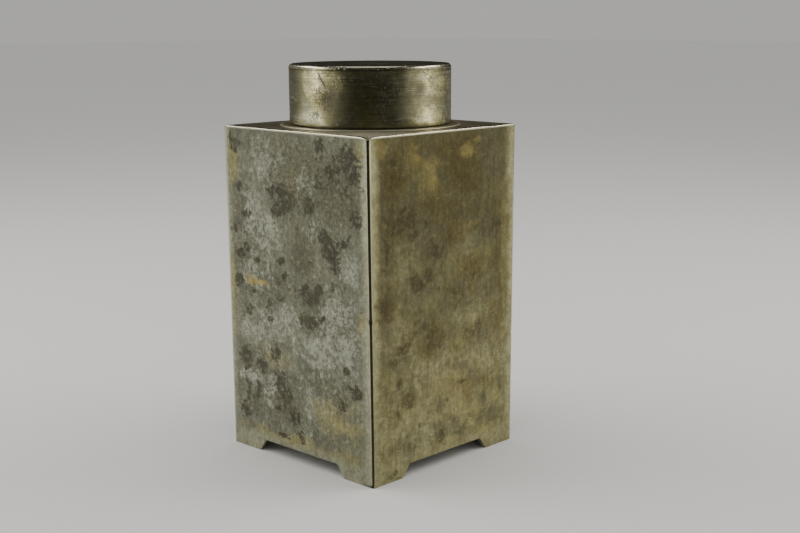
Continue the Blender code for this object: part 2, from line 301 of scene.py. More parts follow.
def make_body_shell(material):
    """The sides with their feet, the shoulder with its hole, and the inside walls, as one skin."""
    stations = body_stations()
    inner_half = HALF - WALL
    inner_radius = 0.5 * MM
    hole_radius = FLANGE_RADIUS + 0.03 * MM
    lowers = [notch_height(along) if angle == 0.0 else 0.0 for _, along, angle in stations]
    settled = 10 * MM
    rings = []

    def outer_ring(inset, height, follow_notch=0.0, rise=0.0):
        """One ring on the outside. follow_notch is 1 at the lower edge and 0 where the wall is whole."""
        ring = []
        for station, lower in zip(stations, lowers):
            quarter, along, angle = station
            plan, out = on_outline(station, HALF, CORNER_RADIUS, inset)
            z = height + follow_notch * lower
            bow = wall_bow(along, z, quarter) if angle == 0.0 else 0.0
            edge_wave = EDGE_WAVE * ripple(plan.x, plan.y, z, 4 * MM, 3) * rise
            strayed = leaned(plan.x, plan.y, height)
            plan += out * (bow * (1 - 0.7 * rise) + edge_wave)
            z += 0.08 * MM * rise * ripple(plan.x, plan.y, 0, 6 * MM, 4)
            plan += strayed
            ring.append(dented((plan.x, plan.y, z)))
        return ring

    edge = LOWER_EDGE_RADIUS
    for inset, height in arc_points((edge, edge), edge, 270, 180, 4):
        rings.append(outer_ring(inset, height, 1.0))
    wall_top = SHOULDER - SHOULDER_EDGE_RADIUS
    dent_heights = [center[2] * MM for center, _, _, _ in DENTS if 5 < center[2] < 98]
    heights = spaced(edge, wall_top, 2.0 * MM, dent_heights, reach=1.0 * MM, fine=0.25 * MM)
    heights += [0.6 * MM, 0.9 * MM, 1.2 * MM, 1.5 * MM]
    for height in sorted(heights)[1:-1]:
        follow = max(0.0, 1 - (height - edge) / (settled - edge))
        rings.append(outer_ring(0.0, height, follow))
    shoulder_arc = arc_points(
        (SHOULDER_EDGE_RADIUS, wall_top), SHOULDER_EDGE_RADIUS, 180, 90, 6
    )
    for inset, height in shoulder_arc:
        rise = (height - wall_top) / SHOULDER_EDGE_RADIUS
        rings.append(outer_ring(inset, height, 0.0, 0.3 + 0.7 * rise))

    # The shoulder runs in to the flange, with a low solder fillet against it
    outline = rings[-1]
    fillet = 0.35 * MM
    for share in (0.015, 0.03, 0.05, 0.08, 0.12, 0.18, 0.26, 0.35, 0.5, 0.65, 0.8, 0.92, 1.0):
        ring = []
        for start in outline:
            angle = math.atan2(start.y, start.x)
            end = Vector((math.cos(angle), math.sin(angle), 0.0)) * (hole_radius + fillet)
            end.z = SHOULDER
            point = start.lerp(end, share)
            point.z += SHOULDER_WAVE * ripple(point.x, point.y, 0, 12 * MM, 5) * min(1.0, 4 * share)
            ring.append(dented(point))
        rings.append(ring)
    for radius, lift in ((hole_radius + 0.15 * MM, 0.03 * MM), (hole_radius, 0.14 * MM)):
        ring = []
        for start in outline:
            angle = math.atan2(start.y, start.x)
            ring.append(Vector((radius * math.cos(angle), radius * math.sin(angle), SHOULDER + lift)))
        rings.append(ring)
    rings.append([Vector((point.x, point.y, SHOULDER_UNDERSIDE)) for point in rings[-1]])

    def inner_ring(height, follow_notch=0.0, inset=0.0):
        ring = []
        for station, lower in zip(stations, lowers):
            plan, out = on_outline(station, inner_half, inner_radius)
            plan += out * inset
            ring.append(Vector((plan.x, plan.y, height + follow_notch * lower)))
        return ring

    for height in np.linspace(SHOULDER_UNDERSIDE, settled, 9):
        rings.append(inner_ring(float(height)))
    for share in (0.4, 0.75, 1.0):
        rings.append(inner_ring(settled + (edge - settled) * share, share))
    rings.append(inner_ring(0.0, 1.0, edge))
    mesh = loft("body_shell", rings, loop=True)
    nodes = ["side_plate_front", "side_plate_right", "side_plate_back", "side_plate_left", "top_plate"]
    place("body_shell", mesh, material, "caddy", nodes, "body_pewter")


def make_floor(material):
    """The floor plate seen from below, a little uneven, with solder where it meets the sides."""
    half = HALF - WALL + 0.1 * MM
    steps = 24
    rings = []
    fillet = 0.7 * MM
    for share in (1.0, 0.985, 0.97, 0.9, 0.75, 0.6, 0.45, 0.3, 0.15):
        ring = []
        for side in range(4):
            for step in range(steps):
                plan = Vector((-1 + 2 * step / steps, -1)) * half * share
                plan = Matrix.Rotation(side * math.pi / 2, 2) @ plan
                edge_distance = half * (1 - share)
                lift = fillet * max(0.0, 1 - edge_distance / (0.9 * MM)) ** 2
                z = floor_low.z - lift - FLOOR_SAG * (1 - share)
                z += 0.05 * MM * ripple(plan.x, plan.y, 0, 9 * MM, 6)
                ring.append((plan.x, plan.y, z))
        rings.append(ring)
    top = [(x, y, floor_high.z) for x, y, _ in rings[0]]
    middle_low = (0, 0, floor_low.z - FLOOR_SAG)
    mesh = loft("floor", [top] + rings, start_pole=(0, 0, floor_high.z), end_pole=middle_low)
    mesh.flip_normals()
    place("floor", mesh, material, "caddy", ["floor_plate"], "inner_pewter")


def make_flange(material):
    """The raised ring around the neck, with its worn rounded rim."""
    soft = 0.26 * MM
    inner = NECK_RADIUS + 0.03 * MM
    rim = arc_points((FLANGE_RADIUS - soft, FLANGE_TOP - soft), soft, 0, 90, 6)
    profile = [(inner, flange_low.z), (FLANGE_RADIUS, flange_low.z), (FLANGE_RADIUS, SHOULDER)]
    profile += rim
    for share in (0.25, 0.5, 0.75, 1.0):
        radius = FLANGE_RADIUS - soft + (inner - FLANGE_RADIUS + soft) * share
        profile.append((radius, FLANGE_TOP))

    def waver(radius, height, angle):
        x, y = radius * math.cos(angle), radius * math.sin(angle)
        if height > SHOULDER:
            height += 0.035 * MM * ripple(x, y, 0, 9 * MM, 7)
            radius += 0.05 * MM * ripple(x, y, 0, 11 * MM, 8) * (radius > FLANGE_RADIUS - 2 * soft)
        return radius, height

    turned("flange_ring", profile, 240, material, "caddy", "neck_flange", "body_pewter", change=waver)


def make_neck(material):
    """The neck tube, with a rounded mouth."""
    soft = 0.45 * MM
    inner = NECK_RADIUS - NECK_WALL
    profile = [(inner, neck_low.z), (NECK_RADIUS, neck_low.z)]
    for share in (0.3, 0.6, 0.9):
        profile.append((NECK_RADIUS, neck_low.z + (NECK_TOP - soft - neck_low.z) * share))
    profile += arc_points((NECK_RADIUS - soft, NECK_TOP - soft), soft, 0, 90, 5)
    profile += arc_points((inner + soft, NECK_TOP - soft), soft, 90, 180, 5)
    profile.append((inner, neck_low.z + 4 * MM))
    turned("neck_tube", profile, 200, material, "caddy", "neck", "inner_pewter")


# ---- Lid ----

# Dings in the lid: direction around the axis (degrees), height, width and depth (mm)
LID_DINGS = (
    (207.0, 117.6, 0.55, 0.16),
    (203.5, 117.9, 0.35, 0.10),
    (200.0, 117.3, 0.30, 0.08),
    (269.0, 117.0, 0.50, 0.10),
    (60.0, 117.6, 0.60, 0.16),
    (140.0, 104.0, 0.80, 0.10),
)


def lid_change(radius, height, angle):
    """The lid's slight unevenness and its dings."""
    x, y = radius * math.cos(angle), radius * math.sin(angle)
    if radius > LID_RADIUS - LID_RIM_RADIUS:
        radius += 0.030 * MM * ripple(x, y, height, 14 * MM, 9)
        radius += 0.010 * MM * ripple(x, y, height, 4 * MM, 10)
    for direction, place_z, width, depth in LID_DINGS:
        turn = (angle - math.radians(direction) + math.pi) % math.tau - math.pi
        away = math.hypot(turn * radius, height - place_z * MM) / (width * MM)
        if away < 2.5:
            radius -= depth * MM * math.exp(-away * away)
    return radius, height


def make_lid_band(material):
    """The lid's straight band, open below, with softened edges."""
    inner = LID_RADIUS - LID_WALL
    top = lid_top_low.z - 0.04 * MM
    soft = 0.30 * MM
    fine = GROOVE_EDGE
    profile = arc_points((inner + soft, LID_BOTTOM + soft), soft, 180, 270, 4)
    profile += arc_points((LID_RADIUS - soft, LID_BOTTOM + soft), soft, 270, 360, 5)
    heights = spaced(LID_BOTTOM + soft, top - fine, 0.8 * MM)
    profile += [(LID_RADIUS, height) for height in heights[1:-1]]
    profile += arc_points((LID_RADIUS - fine, top - fine), fine, 0, 90, 3)
    profile += [(inner, top), (inner, top - 8 * MM)]
    dings = [ding[0] for ding in LID_DINGS]
    turned("lid_wall", profile, 220, material, "lid", "lid_band", "lid_pewter", None, dings, lid_change)


def make_lid_top(material):
    """The lid's top disc with its rounded rim. A fine groove is left above the band."""
    low = lid_top_low.z
    fine = GROOVE_EDGE
    rim = LID_RIM_RADIUS
    profile = [(LID_RADIUS - LID_WALL, low)]
    profile += arc_points((LID_RADIUS - fine, low + fine), fine, 270, 360, 3)
    profile += arc_points((LID_RADIUS - rim, LID_TOP - rim), rim, 0, 90, 12)
    for share in (0.95, 0.85, 0.7, 0.5, 0.3, 0.1):
        dish = LID_DISH * (1 - share * share)
        profile.append(((LID_RADIUS - rim) * share, LID_TOP - dish))
    poles = (low, LID_TOP - LID_DISH)
    dings = [ding[0] for ding in LID_DINGS]
    turned("lid_cap", profile, 260, material, "lid", "lid_top", "lid_pewter", poles, dings, lid_change)


# ---- Inner lid ----

def make_inner_lid(material):
    """The inner lid: a disc with a softened rim, a skirt below it and a turned knob."""
    soft = 0.35 * MM
    radius = disc_high.x
    low, high = disc_low.z, disc_high.z
    profile = [(radius - soft, low)]
    profile += arc_points((radius - soft, low + soft), soft, 270, 360, 4)[1:]
    profile += arc_points((radius - soft, high - soft), soft, 0, 90, 5)
    for share in (0.9, 0.7, 0.5, 0.35, 0.2):
        profile.append(((radius - soft) * share, high - 0.05 * MM * (1 - share)))
    poles = (low, high)
    turned("stopper_disc", profile, 200, material, "inner_lid", "inner_lid_disc", "inner_pewter", poles)

    outer = skirt_high.x
    inner = outer - SKIRT_WALL
    soft = 0.3 * MM
    profile = arc_points((inner + soft, skirt_low.z + soft), soft, 180, 270, 4)
    profile += arc_points((outer - soft, skirt_low.z + soft), soft, 270, 360, 4)
    profile += [(outer, (skirt_low.z + disc_low.z) / 2), (outer, disc_low.z), (inner, disc_low.z)]
    turned("stopper_skirt", profile, 200, material, "inner_lid", "inner_lid_skirt", "inner_pewter")

    foot, top = disc_high.z - 0.05 * MM, knob_high.z
    widest = knob_high.x
    profile = [(0.80 * widest, foot), (0.66 * widest, foot + 0.25 * MM), (0.58 * widest, foot + 0.8 * MM)]
    profile.append((0.62 * widest, foot + 1.3 * MM))
    steps = 40
    head_low = foot + 1.6 * MM
    middle, half = (head_low + top) / 2, (top - head_low) / 2
    for step in range(2, steps):
        angle = -math.pi / 2 + math.pi * step / steps
        share = math.cos(angle) ** 0.6
        waist = 0.64 if angle < 0 else 0.0
        profile.append((max(waist, share) * widest, middle + half * math.sin(angle)))
    poles = (foot, top)
    turned("stopper_knob", profile, 96, material, "inner_lid", "inner_lid_knob", "inner_pewter", poles)


# ---- Materials, laid out in millimetres in the caddy's own coordinates ----

class Level:
    """A number worked out by nodes. Each sum or product with it adds a node."""

    def __init__(self, paint, socket):
        self.paint = paint
        self.socket = socket

    def __add__(self, other):
        return self.paint.math("ADD", self, other)

    def __sub__(self, other):
        return self.paint.math("SUBTRACT", self, other)

    def __rsub__(self, other):
        return self.paint.math("SUBTRACT", other, self)

    def __mul__(self, other):
        return self.paint.math("MULTIPLY", self, other)

    def __truediv__(self, other):
        return self.paint.math("DIVIDE", self, other)

    def __abs__(self):
        return self.paint.math("ABSOLUTE", self)

    def clamped(self):
        """The same number, kept from 0 to 1."""
        self.socket.node.use_clamp = True
        return self


class Paint:
    """Short ways to add and join the nodes of one material."""

    def __init__(self, name, metallic=1):
        self.material = bpy.data.materials.new(name)
        self.material.use_nodes = True
        self.tree = self.material.node_tree
        self.shader = self.tree.nodes["Principled BSDF"]
        self.shader.inputs["Metallic"].default_value = metallic
        coordinates = self.add("ShaderNodeTexCoord").outputs["Object"]
        self.mm = self.vector("MULTIPLY", coordinates, (1000, 1000, 1000))
        self.x, self.y, self.z = self.parts(self.mm)

    def tools(self):
        """What the metals use most, for short names."""
        return self.mm, self.mix, self.step, self.noise

    def add(self, kind, inputs=(), **settings):
        """A new node with these settings. Its inputs are linked or set."""
        node = self.tree.nodes.new(kind)
        for name, value in settings.items():
            setattr(node, name, value)
        for key, value in dict(inputs).items():
            self.feed(node.inputs[key], value)
        return node

    def feed(self, socket, value):
        """Link a level or a node's output, or set a plain value."""
        if isinstance(value, Level):
            value = value.socket
        if isinstance(value, bpy.types.NodeSocket):
            self.tree.links.new(value, socket)
        elif isinstance(value, tuple) and socket.type == "RGBA":
            socket.default_value = (*value, 1)
        else:
            socket.default_value = value

    def math(self, operation, *values):
        node = self.add("ShaderNodeMath", enumerate(values), operation=operation)
        return Level(self, node.outputs[0])

    def larger(self, first, second):
        return self.math("MAXIMUM", first, second)

    def vector(self, operation, *values):
        node = self.add("ShaderNodeVectorMath", enumerate(values), operation=operation)
        if operation in ("LENGTH", "DISTANCE", "DOT_PRODUCT"):
            return Level(self, node.outputs["Value"])
        return node.outputs["Vector"]

    def point(self, x, y, z=0):
        return self.add("ShaderNodeCombineXYZ", enumerate((x, y, z))).outputs[0]

    def parts(self, place):
        """The three coordinates of a place."""
        node = self.add("ShaderNodeSeparateXYZ", {0: place})
        return [Level(self, socket) for socket in node.outputs]

    def scaled(self, color, shade):
        """A colour or a direction times a number."""
        return self.vector("MULTIPLY", color, self.point(shade, shade, shade))

    def from_axis(self):
        """Distance from the caddy's upright axis."""
        return self.vector("LENGTH", self.point(self.x, self.y))

    def step(self, value, low, high, bottom=0, top=1, kind="SMOOTHSTEP"):
        """A smooth step of the value between two levels."""
        inputs = {"Value": value, "From Min": low, "From Max": high, "To Min": bottom, "To Max": top}
        return Level(self, self.add("ShaderNodeMapRange", inputs, interpolation_type=kind).outputs[0])

    def noise(self, place, scale, detail, roughness, shift, stretch=None, distortion=0):
        """Cloudy noise about 0.5. scale is in features per mm, shift keeps one noise unlike another."""
        if stretch:
            place = self.vector("MULTIPLY", place, stretch)
        place = self.vector("ADD", place, (shift, -0.7 * shift, 1.3 * shift))
        inputs = {"Vector": place, "Scale": scale, "Detail": detail, "Roughness": roughness}
        inputs["Distortion"] = distortion
        return Level(self, self.add("ShaderNodeTexNoise", inputs).outputs["Fac"])

    def wander(self, place, scale, amount, detail):
        """The place moved about by noise, which makes the edge of a patch ragged."""
        inputs = {"Vector": place, "Scale": scale, "Detail": detail, "Roughness": 0.6}
        clouds = self.add("ShaderNodeTexNoise", inputs).outputs["Color"]
        centered = self.vector("SUBTRACT", clouds, (0.5, 0.5, 0.5))
        return self.vector("ADD", place, self.vector("MULTIPLY", centered, (amount, amount, amount)))

    def mix(self, share, first, second):
        """A colour between two."""
        inputs = {"Factor": share, "A": first, "B": second}
        return self.add("ShaderNodeMix", inputs, data_type="RGBA").outputs["Result"]

    def patches(self, place, spots, clouds, share, low, high):
        """Ovals broken up by cloudy noise into ragged patches with islands round them.

        Each spot is (across, up, half width, half height, strength at its middle).
        """
        cover = None
        for across, up, half_width, half_height, strength in spots:
            scale = (1 / half_width, 1 / half_height, 0)
            offset = (-across / half_width, -up / half_height, 0)
            distance = self.vector("LENGTH", self.vector("MULTIPLY_ADD", place, scale, offset))
            spot = self.math("MULTIPLY_ADD", distance, -strength, strength)
            cover = spot if cover is None else self.larger(cover, spot)
        return self.step(self.larger(cover, -0.45) + (clouds - 0.5) * (3 * share), low, high)

    def stroke(self, place, start, end, half_width):
        """A fine line between two points in mm, fading at its ends."""
        length = (end - start).length
        along = tuple((end - start) / length)
        offset = self.vector("SUBTRACT", place, tuple(start))
        share = self.vector("DOT_PRODUCT", offset, along)
        distance = self.vector("DISTANCE", offset, self.scaled(along, share))
        inside = self.step(share, -0.2, 0.4) * self.step(share, length + 0.2, length - 0.8)
        return self.step(distance, half_width, 0.2 * half_width) * inside

    def finish(self, color, roughness, height, depth_mm):
        """Join colour, roughness and relief to the shader."""
        self.feed(self.shader.inputs["Base Color"], color)
        self.feed(self.shader.inputs["Roughness"], roughness)
        inputs = {"Strength": 1, "Distance": depth_mm * MM, "Height": height}
        self.feed(self.shader.inputs["Normal"], self.add("ShaderNodeBump", inputs).outputs[0])
        return self.material


# Depth of each metal's fine relief in mm
BODY_RELIEF = 0.01
LID_RELIEF = 0.014
SOLDER_RELIEF = 0.05

# Tones of the metal, as linear colours
WORN_AND_HIGHLIGHT = (0.66, 0.63, 0.48)
SILVER = (0.232, 0.237, 0.171)
OLIVE = (0.222, 0.206, 0.094)
FROST = (0.435, 0.45, 0.355)
DARK = (0.082, 0.077, 0.05)
DARK_BROWN = (0.1, 0.082, 0.036)
DUSK = (0.144, 0.136, 0.086)
BROWN = (0.138, 0.108, 0.036)
PALE_OLIVE = (0.35, 0.332, 0.18)
OCHRE = (0.5, 0.38, 0.11)
STRAW = (0.37, 0.335, 0.15)
GOLD = (0.4, 0.33, 0.11)
GRIME = (0.05, 0.045, 0.03)
SPECK = (0.105, 0.1, 0.066)
WORN_LEFT = (0.47, 0.475, 0.325)
WORN_RIGHT = (0.475, 0.445, 0.235)
ROUNDED_RIGHT = (0.48, 0.455, 0.3)
DUST_BROWN = (0.3, 0.27, 0.19)
DUST_GREY = (0.44, 0.4, 0.3)
DUST_PALE = (0.52, 0.48, 0.36)
DUST_DARK = (0.2, 0.175, 0.115)
LID_PALE = (0.52, 0.508, 0.335)
LID_WARM = (0.47, 0.442, 0.235)
LID_SMUDGE = (0.38, 0.34, 0.2)
LID_RUBBED = (0.78, 0.75, 0.54)
RIM_WEAR_AND_HIGHLIGHT = (0.8, 0.77, 0.62)
TOP_DUSK = (0.25, 0.235, 0.17)
TOP_GREY = (0.36, 0.345, 0.27)
TOP_DARK = (0.15, 0.138, 0.095)
TOP_PALE = (0.46, 0.44, 0.34)
INNER_GREY = (0.52, 0.51, 0.45)
INNER_WARM = (0.4, 0.37, 0.28)
SOLDER_GREY = (0.5, 0.49, 0.45)
SOLDER_DULL = (0.36, 0.34, 0.28)
CORNER_BRIGHT = (0.8, 0.74, 0.58)
LID_SHINE = (0.9, 0.88, 0.61)
LID_GOLD_TINT_AND_SHEEN = (0.9, 0.83, 0.44)
LID_FILM = (0.25, 0.235, 0.15)
FLOOR_DARK = (0.16, 0.145, 0.11)

# Patches on the left face: across from the near corner, up, half width, half height, strength
LEFT_DARK = (
    (16.2, 66.4, 4.4, 5.4, 1.1), (14, 62.2, 3.4, 3.4, 0.9), (18.6, 71, 2.6, 2.4, 0.9),
    (10.6, 70, 3, 1.8, 0.7), (25, 52.6, 5.4, 3.6, 1), (21.4, 54.6, 2, 2.4, 0.9),
    (25.6, 44.4, 4.4, 2.4, 0.9), (19, 46, 2.4, 1.4, 0.6), (35.6, 80.4, 6.4, 4.6, 0.95),
    (38.6, 77, 3.4, 3.6, 0.9), (24.6, 78.8, 3.2, 3.4, 0.8), (55.2, 29.6, 3.2, 4.6, 1),
    (47.8, 27.6, 3.4, 2.8, 0.9), (40.9, 33.4, 2.2, 3.2, 0.75), (37.6, 61, 1.9, 2, 1),
    (56, 61.4, 3.6, 1.9, 1), (52.8, 63.8, 2.2, 2, 0.9), (48.6, 60.4, 2.4, 1, 0.8),
    (56.2, 82, 1.6, 2.3, 0.8), (53.4, 74.2, 2, 1.5, 0.6), (57.4, 52.6, 2.2, 3.2, 0.6),
    (37, 56.4, 3, 2.2, 0.75), (38, 49.6, 2.6, 2, 0.6), (44, 43, 2, 1.2, 0.6), (43, 47.6, 2, 1.5, 0.5),
    (50.2, 50.6, 1.9, 1.1, 0.8), (15.2, 56.6, 1.8, 1.5, 0.9), (5.8, 27, 2.1, 2.3, 0.9),
    (10.6, 32.8, 1.8, 1.4, 0.8), (9.2, 27.8, 2.4, 1, 0.7), (49.8, 18.6, 1.1, 3.2, 0.9),
    (54.8, 18.6, 2.8, 3.6, 0.6), (55, 11.4, 3, 2, 0.6), (40, 24.6, 3.4, 3, 0.6),
    (36.4, 19.6, 3.6, 3.6, 0.75), (32.6, 13.8, 2.4, 3.6, 0.85), (30.6, 8.8, 1.8, 2.8, 0.75),
    (41, 15, 2.4, 1, 0.6), (38.4, 7.2, 2.2, 1.2, 0.6), (6, 76, 3, 4, 0.6), (8, 92, 6, 8, 0.62),
    (19.4, 96.6, 3.2, 2, 0.7), (19, 88, 5, 5, 0.55), (57.6, 95.6, 2.6, 2.6, 0.55), (58, 70, 2, 3, 0.5),
    (54, 44, 3, 2, 0.5), (12, 22, 2, 4, 0.42),
)
# Broad dusky brown clouds, weaker than the dark patches
LEFT_DUSK = (
    (28.5, 63, 8, 8, 0.9), (10, 86, 11, 17, 0.75), (33, 92, 14, 9, 0.45), (33, 50, 11, 8, 0.4),
    (36, 18, 8, 11, 0.6), (53, 14, 8, 9, 0.45), (54, 30, 7, 7, 0.6), (54, 60, 8, 5, 0.4),
)
# Where the left face is peppered with small dark specks
LEFT_SPECKS = (
    (28, 84, 13, 13, 1), (17, 76, 10, 12, 0.9), (44, 52, 14, 10, 0.9), (22, 50, 10, 9, 0.8),
    (50, 66, 8, 8, 0.7), (9, 44, 6, 12, 0.6), (46, 22, 12, 12, 0.7), (20, 28, 10, 8, 0.6),
)
LEFT_FROST = (
    (50, 72, 6.5, 12, 0.9), (44, 69, 6, 8, 0.8), (50, 56, 8, 5, 0.7), (8, 62, 4.6, 6.4, 1),
    (14, 49, 8, 8, 1), (12, 39, 9, 8, 1), (22, 36, 10, 7, 0.8), (35, 44, 6, 7, 0.75),
    (47, 40, 11, 6, 0.7), (44, 21, 6, 5, 0.6), (52, 23.4, 9, 2, 0.7), (24, 71, 3, 4, 0.5),
    (25, 85, 6, 4, 0.5), (44, 91, 8, 8, 0.6), (27, 21, 3.6, 8, 0.4),
)
LEFT_STRAW = (
    (14, 17, 13, 12, 0.62), (59.5, 90, 4.2, 11, 1), (30, 6.4, 40, 3, 0.7), (28, 84, 9, 6, 0.5),
    (3.2, 46, 2.6, 4, 0.8), (60.4, 54, 2.6, 20, 0.8), (4, 94, 3, 8, 0.8), (42, 31, 7, 7, 0.5),
)
LEFT_OCHRE = ((50.4, 53.8, 4.6, 2, 1), (46.4, 53.5, 3.6, 1.4, 0.9), (52, 55.2, 2, 1.4, 0.7))

# Patches on the right face, in the same form
RIGHT_DARK = (
    (17.4, 58, 2.6, 2.4, 1), (20.2, 56.2, 3.2, 1.9, 0.9), (23.6, 58.8, 2.4, 2.6, 0.75),
    (8.8, 35.2, 2, 1.9, 0.9), (11.6, 38, 2.6, 1.6, 0.85), (14.8, 39.6, 2.2, 0.9, 0.7),
    (11.4, 29, 1.3, 1.9, 0.8), (14.6, 22.8, 3, 3.4, 0.9), (10.2, 19.6, 1.8, 1.6, 0.95),
    (28.7, 9.6, 1.8, 3.4, 0.9), (31.5, 19.6, 1.1, 0.9, 0.9), (19.6, 14.2, 1, 1, 0.8),
    (25, 38.4, 5.4, 4.4, 0.55), (5.6, 51, 4, 5, 0.55), (39, 24, 4, 1, 0.5), (9, 93, 1.8, 2, 0.6),
    (8.8, 88, 1.2, 1.1, 0.7), (6.8, 1.7, 1.8, 1, 1), (9, 2.6, 1, 0.9, 0.9), (14, 74, 8, 4.4, 0.4),
    (25, 66, 7, 3.2, 0.36), (44, 38, 9, 4, 0.34), (50, 71, 7, 3.6, 0.34), (20, 45, 6, 3.4, 0.34),
    (7, 67, 3.4, 6, 0.36), (36, 52, 7, 4, 0.34),
)
RIGHT_BROWN = (
    (38, 87, 13, 12, 1), (30, 95, 30, 7, 0.7), (9, 86, 8, 14, 0.8), (30, 78, 26, 10, 0.5),
    (34, 70, 7, 5, 0.7), (44, 58, 8, 7, 0.6), (25, 38, 8, 7, 0.55), (55, 50, 5, 22, 0.6),
    (6, 52, 5, 8, 0.6), (47, 23, 12, 5, 0.4),
)
RIGHT_PALE = (
    (18, 14, 18, 12, 0.5), (24, 32, 10, 8, 0.5), (38, 66, 8, 6, 0.5), (12, 46, 7, 5, 0.5),
    (41, 44, 6, 4, 0.6), (50, 30, 12, 12, 0.45), (14, 65, 9, 7, 0.4),
)
RIGHT_STRAW = (
    (40.2, 94.6, 2.8, 2, 1), (44, 96.2, 1.6, 1.2, 0.9), (24, 90, 6, 10, 0.75), (5.6, 95.5, 3, 4, 0.8),
    (57.4, 60, 2, 60, 0.8), (41, 44, 5, 3, 0.6), (45, 62, 9, 13, 0.35), (40, 20, 24, 17, 0.55),
    (19, 53.6, 1.4, 0.9, 0.7), (30, 6.8, 40, 2.4, 0.6),
)
RIGHT_GOLD = (
    (40.2, 94.2, 4, 2.6, 1), (45, 96.6, 3, 1.4, 0.9), (25, 90, 5.6, 9, 0.55), (19, 94, 7, 4.6, 0.45),
    (3.4, 96.6, 3.4, 3.2, 1.1), (45, 72, 7, 4, 0.4), (20, 84, 4, 6, 0.35),
)


